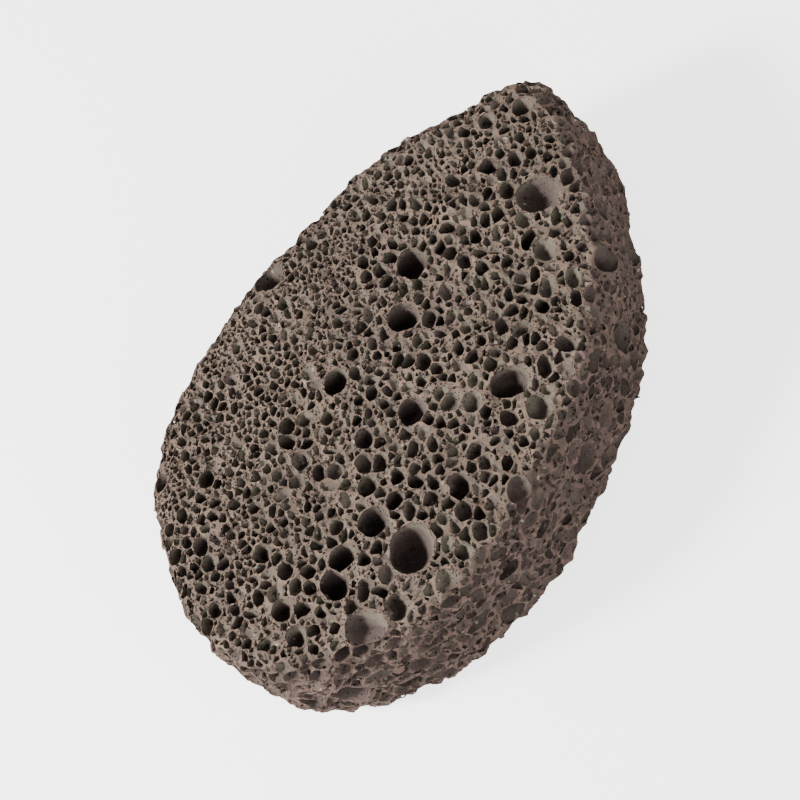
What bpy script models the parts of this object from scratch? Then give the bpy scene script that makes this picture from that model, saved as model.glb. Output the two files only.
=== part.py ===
"""Pumice foot stone: one teardrop slab of vesicular lava.

The slab lies on its ground back face with its tip towards +Y. Both faces are
flat, the rim is rounded over, and open gas pits break the whole surface.
All sizes are in millimetres until a mesh is made, where they become metres.
"""

import math
import random

import bmesh
import bpy
from mathutils import Matrix, Vector, noise

MM = 0.001

# The slab: its plan outline is a smooth closed line through these stations.
THICKNESS = 27.0
TIP = (-0.5, 49.0)
HEEL = (1.5, -49.0)
STATIONS = (  # along the slab, left edge, right edge
    (-44.5, -13.5, 13.0),
    (-34.0, -24.5, 22.5),
    (-20.0, -30.0, 29.0),
    (-4.0, -29.5, 30.6),
    (12.0, -25.5, 29.0),
    (26.0, -20.0, 23.5),
    (38.0, -12.7, 14.7),
    (45.5, -6.3, 7.2),
)
OUTLINE_STEPS = 3  # points between two stations
SPINE = (-20.0, 33.0)  # ends of the middle line that the rim rounds in towards

# The rounded rim: how far the edge comes in, and how far it drops.
FRONT_INSET = 4.3
FRONT_INSET_X = -2.2  # crisper along the right side
FRONT_INSET_Y = 1.4  # softer round the tip
FRONT_DROP = 7.0
BACK_INSET = 3.6
BACK_DROP = 5.5
ROUND_STEPS = 3
FACE_RINGS = (0.7, 0.35)  # rings inside the front face, as a share of its edge

# Slow swells of the worn surface; the ground back face stays flat.
SWELL = 0.55
SWELL_LENGTH = 17.0
SWELL_FADE = 4.0  # height over which the swells grow from the back face

# Large pits of the front face: x, y, half width, half length, turn, depth.
FRONT_PITS = (
    (17.8, -22.9, 3.5, 3.9, 20.0, 7.4),
    (10.2, -21.8, 2.2, 2.9, -10.0, 5.6),
    (19.6, 4.5, 2.5, 3.7, -48.0, 5.8),
    (-0.6, 7.2, 2.3, 3.0, -40.0, 5.6),
    (-3.4, 15.2, 2.4, 2.6, 0.0, 5.2),
    (-5.2, -5.6, 1.9, 2.6, 0.0, 4.4),
    (7.8, -4.8, 2.2, 2.6, 15.0, 4.8),
    (8.6, -28.2, 1.9, 2.8, -15.0, 6.2),
    (9.6, -32.2, 2.4, 2.5, 0.0, 5.8),
    (19.8, -12.1, 2.0, 2.1, 0.0, 4.8),
    (7.0, -17.3, 1.7, 1.9, 0.0, 3.6),
    (3.0, -11.3, 1.6, 1.8, 0.0, 3.4),
    (4.2, -38.8, 1.8, 1.9, 30.0, 4.2),
    (8.0, -41.3, 1.8, 1.7, 0.0, 4.0),
    (0.4, 32.6, 1.3, 2.1, -45.0, 4.2),
    (0.8, 43.2, 1.6, 2.1, -10.0, 3.6),
    (9.6, 31.6, 3.0, 4.2, -55.0, 2.6),
    (11.8, 25.0, 1.2, 2.8, 5.0, 4.6),
    (25.4, 3.0, 2.1, 2.5, -50.0, 2.4),
    (17.4, -36.4, 3.3, 4.1, -60.0, 1.7),
    (19.8, -31.4, 2.1, 2.2, 0.0, 2.6),
    (4.0, 22.5, 1.2, 1.6, 20.0, 2.8),
    (-0.4, 19.1, 0.9, 2.0, 12.0, 3.4),
    (3.1, 27.0, 1.1, 1.2, 10.0, 2.6),
    (8.5, 37.5, 1.0, 1.1, 10.0, 2.6),
    (5.8, 2.5, 1.3, 1.9, 10.0, 2.8),
    (10.4, -14.4, 1.3, 1.7, -5.0, 3.4),
    (12.0, -17.7, 1.3, 2.0, -12.0, 3.6),
    (24.6, -14.4, 1.0, 1.8, 28.0, 2.8),
    (27.4, -18.0, 0.9, 1.0, 10.0, 3.0),
    (12.1, -27.1, 1.3, 1.6, 5.0, 2.8),
    (6.4, -34.1, 1.2, 1.5, 10.0, 3.2),
    (-13.6, -39.9, 1.1, 1.6, -20.0, 2.6),
    (25.3, -24.8, 2.4, 2.5, 0.0, 1.5),
    (15.0, 24.5, 2.5, 1.9, 0.0, 1.3),
    (26.5, 9.1, 1.7, 2.1, 0.0, 1.4),
)

# Smaller round pits of the front face: x, y, radius, depth.
SMALL_PITS = (
    (-3.2, -32.6, 1.6, 3.4), (-7.8, -16.4, 1.5, 3.0), (3.8, 35.3, 1.4, 3.2),
    (-3.3, 39.0, 1.6, 3.0), (13.6, -14.0, 1.5, 3.0), (18.8, 16.4, 1.3, 3.4),
    (15.3, 16.4, 1.1, 2.6), (13.5, 19.4, 1.4, 2.4), (7.4, 18.4, 1.3, 3.0),
    (4.0, 18.5, 1.6, 2.0), (-3.5, 28.9, 1.3, 2.2), (-7.7, 16.8, 1.1, 2.4),
    (-10.6, 12.6, 1.2, 2.2), (0.8, 2.9, 1.1, 2.6), (4.0, 10.5, 1.0, 2.4),
    (12.5, 8.4, 1.0, 2.6), (9.8, 1.5, 1.0, 2.4), (3.2, -5.5, 1.1, 2.4),
    (12.9, -4.9, 1.0, 2.6), (16.8, -4.1, 1.0, 2.6), (25.7, -2.4, 1.1, 2.6),
    (29.0, -6.2, 1.0, 2.6), (4.8, -14.6, 1.6, 2.6), (22.3, -17.4, 1.4, 2.4),
    (25.1, -20.1, 1.5, 2.4), (17.1, -18.0, 1.0, 3.0), (-5.6, -42.8, 1.3, 2.8),
    (-2.8, -41.4, 1.2, 2.6), (-4.4, -18.1, 1.6, 2.0), (9.7, -36.7, 1.2, 2.8),
    (13.5, -33.9, 1.4, 1.8), (-0.3, -3.3, 1.0, 2.2), (-11.9, -14.5, 1.0, 2.2),
    (3.1, -29.6, 1.0, 2.6), (-7.7, -27.2, 1.1, 2.2), (15.2, -9.7, 1.0, 2.4),
    (23.1, -2.3, 0.9, 2.4), (1.1, -15.4, 1.1, 2.4), (-5.9, -37.4, 0.9, 2.2),
)
SMALL_TURN = 40.0  # each is turned this much further than the last

# Seeded pits over the whole surface: smaller ones between the front face's own.
PIT_SEED = 1906
SEEDED_PITS = 235
SEEDED_RADIUS = (1.1, 3.4)
SEEDED_FRONT_RADIUS = (0.9, 1.3)
SEEDED_TRIES = 9000
PIT_WALL = 0.5  # least stone left between two seeded pits
REST_PAD = 6.0  # radius of unbroken stone round the middle of the back face
FACE_RIM = 0.93  # a face normal flatter than this belongs to a flat face

# A large pit is a rounded bowl and a smaller one tapers to a point. Both are uneven.
LARGE_PIT = 2.3
HOLLOW_SIDES = 6
HOLLOW_TOP = 0.45  # how far a hollow's cutter stands out of the mouth
CUTTER_GAP = 2.2  # least room between two hollows of the same cutter
UNEVEN = 0.6  # how strongly the outline wavers in and out
WAVER = 1.2  # how quickly it wavers on the way round

STONE_COLOUR = (0.102, 0.078, 0.067, 1.0)
STONE_ROUGHNESS = 0.92


def clear_scene():
    """Remove whatever the scene starts with."""
    for item in list(bpy.data.objects):
        bpy.data.objects.remove(item, do_unlink=True)


def make_collection(name):
    """Make a collection under the scene's own."""
    collection = bpy.data.collections.new(name)
    bpy.context.scene.collection.children.link(collection)
    return collection


def stone_material():
    """Dry, matt, brown-grey lava."""
    material = bpy.data.materials.new("pumice")
    material.use_nodes = True
    shader = material.node_tree.nodes["Principled BSDF"]
    shader.inputs["Base Color"].default_value = STONE_COLOUR
    shader.inputs["Roughness"].default_value = STONE_ROUGHNESS
    shader.inputs["Metallic"].default_value = 0.0
    return material


def station_points():
    """The outline's stations in order, anticlockwise from the heel."""
    right = [Vector((right_x, y)) for y, _, right_x in STATIONS]
    left = [Vector((left_x, y)) for y, left_x, _ in reversed(STATIONS)]
    return [Vector(HEEL)] + right + [Vector(TIP)] + left


def smooth_outline():
    """Points of the smooth closed line through the stations."""
    stations = station_points()
    count = len(stations)
    points = []
    for i in range(count):
        before, start, end, after = (stations[(i + k) % count] for k in (-1, 0, 1, 2))
        for step in range(OUTLINE_STEPS):
            t = step / OUTLINE_STEPS
            pull = (end - before) * t + (2 * before - 5 * start + 4 * end - after) * t**2
            bend = (3 * start - before - 3 * end + after) * t**3
            points.append(start + (pull + bend) / 2)
    return points


def outward(point):
    """Direction from the slab's middle line out to a point of the outline."""
    heel_end, tip_end = SPINE
    nearest = Vector((0.0, min(max(point.y, heel_end), tip_end)))
    return (point - nearest).normalized()


def front_inset(point):
    """How far the front edge comes in at a point of the outline."""
    away = outward(point)
    return FRONT_INSET + FRONT_INSET_X * away.x + FRONT_INSET_Y * away.y


def swell(point):
    """Low swell of the worn surface at a point."""
    fade = min(max(point.z / SWELL_FADE, 0.0), 1.0)
    return SWELL * fade * noise.noise(point / SWELL_LENGTH)


def ring(outline, insets, height):
    """One level of the slab, swollen outwards by the worn surface."""
    level = []
    for point, inset in zip(outline, insets):
        away = outward(point)
        spot = (point - away * inset).to_3d()
        spot.z = height
        level.append(spot + away.to_3d() * swell(spot) * 2)
    return level


def slab_rings():
    """Levels of the slab from the back face's edge up to the front face's middle."""
    outline = smooth_outline()
    front = [front_inset(point) for point in outline]
    rings = []
    for step in range(ROUND_STEPS + 1):
        angle = math.pi / 2 * step / ROUND_STEPS
        insets = [BACK_INSET * (1 - math.sin(angle))] * len(outline)
        rings.append(ring(outline, insets, BACK_DROP * (1 - math.cos(angle))))
    for step in range(ROUND_STEPS + 1):
        angle = math.pi / 2 * step / ROUND_STEPS
        insets = [inset * (1 - math.cos(angle)) for inset in front]
        height = THICKNESS - FRONT_DROP * (1 - math.sin(angle))
        rings.append(ring(outline, insets, height))
    edge = rings[-1]
    for share in FACE_RINGS:
        flat = [Vector((point.x * share, point.y * share, THICKNESS)) for point in edge]
        rings.append([point + Vector((0, 0, swell(point))) for point in flat])
    return rings


def slab_mesh():
    """The whole slab before its pits open, as a closed mesh."""
    mesh = bmesh.new()
    loops = []
    for level in slab_rings():
        loops.append([mesh.verts.new(point * MM) for point in level])
    count = len(loops[0])
    for lower, upper in zip(loops, loops[1:]):
        for i in range(count):
            j = (i + 1) % count
            mesh.faces.new((lower[i], lower[j], upper[j], upper[i]))
    mesh.faces.new(list(reversed(loops[0])))
    middle = mesh.faces.new(loops[-1])
    bmesh.ops.poke(mesh, faces=[middle])
    for face in mesh.faces:
        face.smooth = True
    return mesh


class Pit:
    """One gas pit: an uneven, egg-shaped hollow that opens through the surface."""

    def __init__(self, mouth, normal, half_width, half_length, turn, depth):
        self.height = max(depth, half_width)
        self.lift = self.height - depth
        flare = 1 / math.sqrt(1 - (self.lift / self.height) ** 2)
        self.half_width = half_width * flare
        self.half_length = half_length * flare
        self.centre = mouth + normal * self.lift
        self.normal = normal
        self.turn = turn
        self.reach = max(self.half_width, self.half_length, self.height)

    def clears(self, other, gap):
        """Whether at least this much stone stays between two pits."""
        return (self.centre - other.centre).length > self.reach + other.reach + gap

    def waver(self, direction):
        """How far out the pit reaches in a direction of its own frame, as a share."""
        return 1 + UNEVEN * noise.noise(direction * WAVER + self.centre)

    def placement(self):
        """Where the pit sits, how it is turned and how it is stretched."""
        facing = self.normal.to_track_quat("Z", "Y").to_matrix().to_4x4()
        spin = Matrix.Rotation(math.radians(self.turn), 4, "Z")
        stretch = Matrix.Diagonal((self.half_width, self.half_length, self.height, 1.0))
        return Matrix.Scale(MM, 4) @ Matrix.Translation(self.centre) @ facing @ spin @ stretch


def front_pits():
    """The pits of the front face."""
    up = Vector((0, 0, 1))
    round_ones = []
    for number, (x, y, radius, depth) in enumerate(SMALL_PITS):
        round_ones.append((x, y, radius, radius, number * SMALL_TURN, depth))
    pits = []
    for x, y, half_width, half_length, turn, depth in list(FRONT_PITS) + round_ones:
        flat = Vector((x, y, THICKNESS))
        mouth = flat + up * swell(flat)
        pits.append(Pit(mouth, up, half_width, half_length, turn, depth))
    return pits


def random_spot(mesh, chance):
    """An even random point of the surface, with the direction it faces."""
    faces = mesh.faces
    areas = [face.calc_area() for face in faces]
    face = chance.choices(faces, weights=areas)[0]
    corners = [vert.co for vert in face.verts]
    first = chance.randrange(1, len(corners) - 1)
    a, b, c = corners[0], corners[first], corners[first + 1]
    u, v = sorted((chance.random(), chance.random()))
    return (a * u + b * (v - u) + c * (1 - v)) / MM, face.normal.copy()


def seeded_pits(mesh, taken):
    """Random pits that keep clear of each other and of the resting pad."""
    chance = random.Random(PIT_SEED)
    mesh.faces.ensure_lookup_table()
    pits = []
    for _ in range(SEEDED_TRIES):
        if len(pits) == SEEDED_PITS:
            break
        spot, normal = random_spot(mesh, chance)
        low, high = SEEDED_FRONT_RADIUS if normal.z > FACE_RIM else SEEDED_RADIUS
        radius = low + (high - low) * chance.random() ** 3
        depth = radius * chance.uniform(0.6, 1.6)
        turn = chance.uniform(0, 180)
        pit = Pit(spot, normal, radius, radius * chance.uniform(1.0, 1.3), turn, depth)
        on_pad = normal.z < -FACE_RIM and spot.xy.length < REST_PAD + pit.reach
        if not on_pad and all(pit.clears(other, PIT_WALL) for other in taken + pits):
            pits.append(pit)
    return pits


def sort_apart(pits):
    """Share the pits into groups in which no two touch."""
    groups = []
    for pit in pits:
        for group in groups:
            if all(pit.clears(other, CUTTER_GAP) for other in group):
                group.append(pit)
                break
        else:
            groups.append([pit])
    return groups


def add_hollow(mesh, pit):
    """The hollow of one pit, made in the pit's own frame, where its bowl is a unit ball."""
    if pit.half_width > LARGE_PIT:
        made = bmesh.ops.create_icosphere(mesh, subdivisions=2, radius=1.0)
        for vert in made["verts"]:
            vert.co *= pit.waver(vert.co)
    else:
        mouth = pit.lift / pit.height
        top = HOLLOW_TOP - mouth
        widening = math.sqrt(1 - mouth**2) / (1 - mouth)
        made = bmesh.ops.create_cone(
            mesh,
            cap_ends=True,
            segments=HOLLOW_SIDES,
            radius1=0.0,
            radius2=widening * (top + 1),
            depth=top + 1,
            matrix=Matrix.Translation((0, 0, (top - 1) / 2)),
        )
        for vert in made["verts"]:
            vert.co.xy *= pit.waver(Vector((vert.co.x, vert.co.y, 0)).normalized())
    bmesh.ops.transform(mesh, matrix=pit.placement(), verts=made["verts"])


def pit_cutter(name, pits, collection):
    """One cutter that holds the hollows of a group of pits."""
    mesh = bmesh.new()
    for pit in pits:
        add_hollow(mesh, pit)
    data = bpy.data.meshes.new(name)
    mesh.to_mesh(data)
    mesh.free()
    cutter = bpy.data.objects.new(name, data)
    collection.objects.link(cutter)
    cutter.hide_render = True
    cutter.display_type = "WIRE"
    return cutter


def open_pits(stone, cutter):
    """Open a group of pits in the stone."""
    cut = stone.modifiers.new(cutter.name, "BOOLEAN")
    cut.operation = "DIFFERENCE"
    cut.solver = "EXACT"
    cut.object = cutter


def build_stone():
    """The stone with all its pits."""
    parts = make_collection("pumice stone")
    cutters = make_collection("cutters")
    mesh = slab_mesh()
    bmesh.ops.recalc_face_normals(mesh, faces=mesh.faces)
    large = front_pits()
    pits = large + seeded_pits(mesh, large)
    data = bpy.data.meshes.new("pumice_stone")
    mesh.to_mesh(data)
    mesh.free()
    data.materials.append(stone_material())
    stone = bpy.data.objects.new("pumice_stone", data)
    parts.objects.link(stone)
    for number, group in enumerate(sort_apart(pits), start=1):
        open_pits(stone, pit_cutter("pits_%d" % number, group, cutters))
    return stone


clear_scene()
build_stone()
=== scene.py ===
import math
import random

import bmesh
import bpy
import numpy as np
from mathutils import Matrix, Vector, noise
from mathutils.bvhtree import BVHTree
from mathutils.kdtree import KDTree


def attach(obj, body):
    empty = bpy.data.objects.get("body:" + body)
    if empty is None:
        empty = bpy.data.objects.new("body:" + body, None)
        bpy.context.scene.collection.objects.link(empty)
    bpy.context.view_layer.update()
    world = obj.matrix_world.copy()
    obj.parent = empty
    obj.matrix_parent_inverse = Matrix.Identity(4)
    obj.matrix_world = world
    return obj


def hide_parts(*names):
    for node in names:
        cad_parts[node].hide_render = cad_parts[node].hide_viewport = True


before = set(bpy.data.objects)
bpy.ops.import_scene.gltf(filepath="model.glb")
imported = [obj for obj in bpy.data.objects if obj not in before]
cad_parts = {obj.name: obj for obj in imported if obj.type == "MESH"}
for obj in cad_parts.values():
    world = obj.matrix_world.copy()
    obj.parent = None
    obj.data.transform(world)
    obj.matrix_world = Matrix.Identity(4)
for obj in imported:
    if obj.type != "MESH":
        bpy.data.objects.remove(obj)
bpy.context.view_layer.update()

MM = 0.001
TINY = 1e-6  # least length that anything is divided by

# The slab, in millimetres, as the solid has it. The tip points to +Y, and the front faces up.
THICKNESS = 27.0
TIP = (-0.5, 49.0)
HEEL = (1.5, -49.0)
STATIONS = (  # along the slab, left edge, right edge
    (-44.5, -13.5, 13.0),
    (-34.0, -24.5, 22.5),
    (-20.0, -30.0, 29.0),
    (-4.0, -29.5, 30.6),
    (12.0, -25.5, 29.0),
    (26.0, -20.0, 23.5),
    (38.0, -12.7, 14.7),
    (45.5, -6.3, 7.2),
)
SPINE = (-20.0, 33.0)  # ends of the middle line that the rim rounds in towards

# How far each face lies inside the outline, and how deep its rim is rounded.
FRONT_INSET = 4.3
FRONT_INSET_X = -2.2  # crisper along the right side
FRONT_INSET_Y = 1.4  # softer round the tip
FRONT_DROP = 7.0
BACK_INSET = 3.6
BACK_DROP = 5.5

# Slow swells of the front face and the rim.
SWELL = 0.55
SWELL_LENGTH = 17.0
SWELL_FADE = 4.0  # height over which the swells grow from the back face
RIM_SWELL = 2  # how much more the rim swells than the face

# Points between two stations, rings round each rim, and rings inside the face as a share of it.
COARSE = (3, 3, (0.7, 0.35))  # as the solid has them: its seeded pits are laid out on these
FINE = (8, 8, (0.8, 0.6, 0.4, 0.2))

# Oval pits of the front face: x, y, half width, half length, turn in degrees, depth.
FRONT_PITS = (
    (17.8, -22.9, 3.5, 3.9, 20.0, 7.4),
    (10.2, -21.8, 2.2, 2.9, -10.0, 5.6),
    (19.6, 4.5, 2.5, 3.7, -48.0, 5.8),
    (-0.6, 7.2, 2.3, 3.0, -40.0, 5.6),
    (-3.4, 15.2, 2.4, 2.6, 0.0, 5.2),
    (-5.2, -5.6, 1.9, 2.6, 0.0, 4.4),
    (7.8, -4.8, 2.2, 2.6, 15.0, 4.8),
    (8.6, -28.2, 1.9, 2.8, -15.0, 6.2),
    (9.6, -32.2, 2.4, 2.5, 0.0, 5.8),
    (19.8, -12.1, 2.0, 2.1, 0.0, 4.8),
    (7.0, -17.3, 1.7, 1.9, 0.0, 3.6),
    (3.0, -11.3, 1.6, 1.8, 0.0, 3.4),
    (4.2, -38.8, 1.8, 1.9, 30.0, 4.2),
    (8.0, -41.3, 1.8, 1.7, 0.0, 4.0),
    (0.4, 32.6, 1.3, 2.1, -45.0, 4.2),
    (0.8, 43.2, 1.6, 2.1, -10.0, 3.6),
    (9.6, 31.6, 3.0, 4.2, -55.0, 2.6),
    (11.8, 25.0, 1.2, 2.8, 5.0, 4.6),
    (25.4, 3.0, 2.1, 2.5, -50.0, 2.4),
    (17.4, -36.4, 3.3, 4.1, -60.0, 1.7),
    (19.8, -31.4, 2.1, 2.2, 0.0, 2.6),
    (4.0, 22.5, 1.2, 1.6, 20.0, 2.8),
    (-0.4, 19.1, 0.9, 2.0, 12.0, 3.4),
    (3.1, 27.0, 1.1, 1.2, 10.0, 2.6),
    (8.5, 37.5, 1.0, 1.1, 10.0, 2.6),
    (5.8, 2.5, 1.3, 1.9, 10.0, 2.8),
    (10.4, -14.4, 1.3, 1.7, -5.0, 3.4),
    (12.0, -17.7, 1.3, 2.0, -12.0, 3.6),
    (24.6, -14.4, 1.0, 1.8, 28.0, 2.8),
    (27.4, -18.0, 0.9, 1.0, 10.0, 3.0),
    (12.1, -27.1, 1.3, 1.6, 5.0, 2.8),
    (6.4, -34.1, 1.2, 1.5, 10.0, 3.2),
    (-13.6, -39.9, 1.1, 1.6, -20.0, 2.6),
    (25.3, -24.8, 2.4, 2.5, 0.0, 1.5),
    (15.0, 24.5, 2.5, 1.9, 0.0, 1.3),
    (26.5, 9.1, 1.7, 2.1, 0.0, 1.4),
)
# Smaller round pits of the front face: x, y, radius, depth.
SMALL_PITS = (
    (-3.2, -32.6, 1.6, 3.4), (-7.8, -16.4, 1.5, 3.0), (3.8, 35.3, 1.4, 3.2),
    (-3.3, 39.0, 1.6, 3.0), (13.6, -14.0, 1.5, 3.0), (18.8, 16.4, 1.3, 3.4),
    (15.3, 16.4, 1.1, 2.6), (13.5, 19.4, 1.4, 2.4), (7.4, 18.4, 1.3, 3.0),
    (4.0, 18.5, 1.6, 2.0), (-3.5, 28.9, 1.3, 2.2), (-7.7, 16.8, 1.1, 2.4),
    (-10.6, 12.6, 1.2, 2.2), (0.8, 2.9, 1.1, 2.6), (4.0, 10.5, 1.0, 2.4),
    (12.5, 8.4, 1.0, 2.6), (9.8, 1.5, 1.0, 2.4), (3.2, -5.5, 1.1, 2.4),
    (12.9, -4.9, 1.0, 2.6), (16.8, -4.1, 1.0, 2.6), (25.7, -2.4, 1.1, 2.6),
    (29.0, -6.2, 1.0, 2.6), (4.8, -14.6, 1.6, 2.6), (22.3, -17.4, 1.4, 2.4),
    (25.1, -20.1, 1.5, 2.4), (17.1, -18.0, 1.0, 3.0), (-5.6, -42.8, 1.3, 2.8),
    (-2.8, -41.4, 1.2, 2.6), (-4.4, -18.1, 1.6, 2.0), (9.7, -36.7, 1.2, 2.8),
    (13.5, -33.9, 1.4, 1.8), (-0.3, -3.3, 1.0, 2.2), (-11.9, -14.5, 1.0, 2.2),
    (3.1, -29.6, 1.0, 2.6), (-7.7, -27.2, 1.1, 2.2), (15.2, -9.7, 1.0, 2.4),
    (23.1, -2.3, 0.9, 2.4), (1.1, -15.4, 1.1, 2.4), (-5.9, -37.4, 0.9, 2.2),
)
SMALL_TURN = 40.0  # each is turned this much further than the last
UNEVEN = 0.6  # how strongly a pit's outline wavers in and out
WAVER = 1.2  # how quickly it wavers on the way round

# The solid's pits of the rim and the back, and those between the placed ones.
PIT_SEED = 1906
SEEDED_PITS = 235
SEEDED_TRIES = 9000
SEEDED_RADIUS = (1.1, 3.4)
SEEDED_FRONT_RADIUS = (0.9, 1.3)
SEEDED_SMALLNESS = 3  # the higher, the more of them are near the smallest radius
SEEDED_DEPTH = (0.6, 1.6)  # in radii
SEEDED_LENGTH = (1.0, 1.3)  # half length, in radii
PIT_WALL = 0.5  # least stone left between two of them
REST_PAD = 6.0  # radius of unbroken stone round the middle of the back face
FACE_RIM = 0.93  # a face normal flatter than this belongs to a flat face

# The ground skin of the stone, before a cell is open.
SKIN_VOXEL = 0.6
SKIN_WEAR = (  # length of a hollow, how deep it wears on the faces and round the rim
    (6.0, 0.70, 0.70),
    (2.2, 0.60, 0.85),
    (1.0, 0.25, 0.35),
)
LEVEL_WEAR = 0.5  # share of those depths that is worn away on the level
SKIN_SWELL = 0.45  # share of them that the skin stands out again, before it is roughened
RIM_FACING = (0.55, 0.9)  # how squarely the skin faces up or down, from rim to flat face

# The gas cells that fill the stone.
FOAM_SEED = 77
TIERS = (  # largest and smallest radius, places tried, swelling to neighbours, shallow share
    (2.5, 1.8, 900, 1.3, 0.5),
    (1.8, 1.35, 5000, 1.5, 0.5),
    (1.35, 1.05, 22000, 1.6, 0.5),
    (1.05, 0.8, 50000, 1.6, 0.4),
    (0.8, 0.6, 90000, 1.6, 0.2),
    (0.6, 0.42, 130000, 1.5, 0.05),
)
PIT_SWELLING = 1.3  # swelling of the solid's pits
NEAREST = 0.42  # how near a new cell may start to an older one, in its own radii
DEEP_CELLS = ((-0.2, 0.2), (1.1, 1.9))  # lift of the middle off the skin, height, in radii
SHALLOW_CELLS = ((0.25, 0.75), (0.8, 1.2))
RIM_SHALLOW = 0.30  # how much larger the share of shallow cells is round the rim
STRETCH = (1.15, 2.3)  # length over width
CELL_TURN = (-0.15, 0.45)  # middle and spread of its turn off the slab's length, in radians
EGG = 0.14  # how far one end of a cell is drawn out, as a share of its radius
FLOW = (0.22, 0.21, 0.17)  # the way the lava drew every cell out, as a share of its radius
LUMP = 0.12  # height of a cell's lumps, in its own radii
LUMP_WAVES = 5.2  # how closely they follow each other
DRAWN = np.array((0.72, 0.694, 0.0))  # the way the lava flowed as the cells set
SLANT = 0.48  # how far the cells and their walls slope that way
PIT_SLANT = 0.3

# How large the cells may be: a least radius, and more the coarser the stone is there.
LEAST_CELL = 0.5
CELL_GROWTH = 1.6
COARSEST = 1.2
FRONT_COARSE = (0.60, 0.025, -0.002, 0.8)  # in the middle, per mm to +X and +Y, in patches
BACK_COARSE = (0.66, 0.0, 0.0, 0.8)
RIM_COARSE = (1.08, 0.014, 0.0, 0.7)
PATCH_LENGTH = 9.0
PATCH_START = Vector((5.1, 0.7, 2.2))
CELL_SCATTER = 0.14

# How a cell's walls form where its neighbours press on it.
SIZE_CLASSES = ((2.2, 99), (1.3, 2.2), (0.8, 1.3), (0, 0.8))  # neighbours are looked up by these
NEIGHBOUR_REACH = 2.5  # how far off they are looked for, in the cell's farthest reach
WALL = 0.09  # thickness of stone between two cells
NEAREST_WALL = 0.1  # least distance from a cell's middle to its wall
ROUNDING = 5.6  # how sharply a cell's flats meet
FILLED = 0.6  # share of a cell's outline that is rounded off short of its flats
FINENESS = ((1.7, 4), (0.8, 3), (0.0, 2))  # smallest radius for each fineness of sphere

# Chips off the ridges, and pinholes through the walls between cells.
BITES = (  # largest and smallest radius, places tried, deepest place, lift off the surface
    (0.8, 0.35, 9000, 0.25, (0.1, 0.6)),
    (0.42, 0.19, 22000, 1.6, (-0.5, 0.2)),
)
SQUARE_BITES = 1  # rows no deeper than this are lifted square to the ground skin
BITE_SMALLNESS = 1.6  # the higher, the more of them are near their smallest radius
BITE_DEPTH = 0.5  # the lower, the more of them are near their deepest place
BITE_STRETCH = (0.75, 1.05)
BITE_GAP = 1.15  # how far bites keep apart, in the sum of their radii
BITE_FINENESS = ((0.45, 3), (0.26, 2), (0.0, 1))

# The finished mesh.
TRIANGLES = 197000  # what it is thinned to
SHARP_ANGLE = math.radians(38)  # edges sharper than this aren't shaded smooth
NEAR_CELLS = 6  # how many cells a point looks through for the one it lies in
TONE_STEP = 0.61803  # from one cell's tone to the next's, which spreads the tones evenly
FIN_ROUNDS = 6  # how often fins are pruned after thinning
WIDEST_GAP = 8  # most sides of a gap that is closed then


def add_object(name, data):
    obj = bpy.data.objects.new(name, data)
    bpy.context.scene.collection.objects.link(obj)
    return obj


def place_tree(places, numbers=None):
    """A tree that finds the places near a point, and gives each one's number."""
    tree = KDTree(len(places))
    for place, number in zip(places, range(len(places)) if numbers is None else numbers):
        tree.insert(place, int(number))
    tree.balance()
    return tree


def station_points():
    right = [Vector((right_x, y)) for y, _, right_x in STATIONS]
    left = [Vector((left_x, y)) for y, left_x, _ in reversed(STATIONS)]
    return [Vector(HEEL)] + right + [Vector(TIP)] + left


def smooth_outline(steps):
    """A closed Catmull-Rom curve through the stations, with so many points between two."""
    stations = station_points()
    count = len(stations)
    points = []
    for i in range(count):
        before, start, end, after = (stations[(i + k) % count] for k in (-1, 0, 1, 2))
        for step in range(steps):
            t = step / steps
            pull = (end - before) * t + (2 * before - 5 * start + 4 * end - after) * t**2
            bend = (3 * start - before - 3 * end + after) * t**3
            points.append(start + (pull + bend) / 2)
    return points


def outward(point):
    """The way from the slab's middle line to an outline point."""
    heel_end, tip_end = SPINE
    nearest = Vector((0.0, min(max(point.y, heel_end), tip_end)))
    return (point - nearest).normalized()


def front_inset(point):
    away = outward(point)
    return FRONT_INSET + FRONT_INSET_X * away.x + FRONT_INSET_Y * away.y


def swell(point):
    fade = min(max(point.z / SWELL_FADE, 0.0), 1.0)
    return SWELL * fade * noise.noise(point / SWELL_LENGTH)


def ring(outline, insets, height):
    """One level of the slab, swollen outwards by the worn surface."""
    level = []
    for point, inset in zip(outline, insets):
        away = outward(point)
        spot = (point - away * inset).to_3d()
        spot.z = height
        level.append(spot + away.to_3d() * swell(spot) * RIM_SWELL)
    return level


def slab_rings(outline_steps, round_steps, face_rings):
    """The slab's levels: up round the back, round the front, and in over the front face."""
    outline = smooth_outline(outline_steps)
    front = [front_inset(point) for point in outline]
    rings = []
    for step in range(round_steps + 1):
        angle = math.pi / 2 * step / round_steps
        insets = [BACK_INSET * (1 - math.sin(angle))] * len(outline)
        rings.append(ring(outline, insets, BACK_DROP * (1 - math.cos(angle))))
    for step in range(round_steps + 1):
        angle = math.pi / 2 * step / round_steps
        insets = [inset * (1 - math.cos(angle)) for inset in front]
        height = THICKNESS - FRONT_DROP * (1 - math.sin(angle))
        rings.append(ring(outline, insets, height))
    edge = rings[-1]
    for share in face_rings:
        flat = [Vector((point.x * share, point.y * share, THICKNESS)) for point in edge]
        rings.append([point + Vector((0, 0, swell(point))) for point in flat])
    return rings


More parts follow.
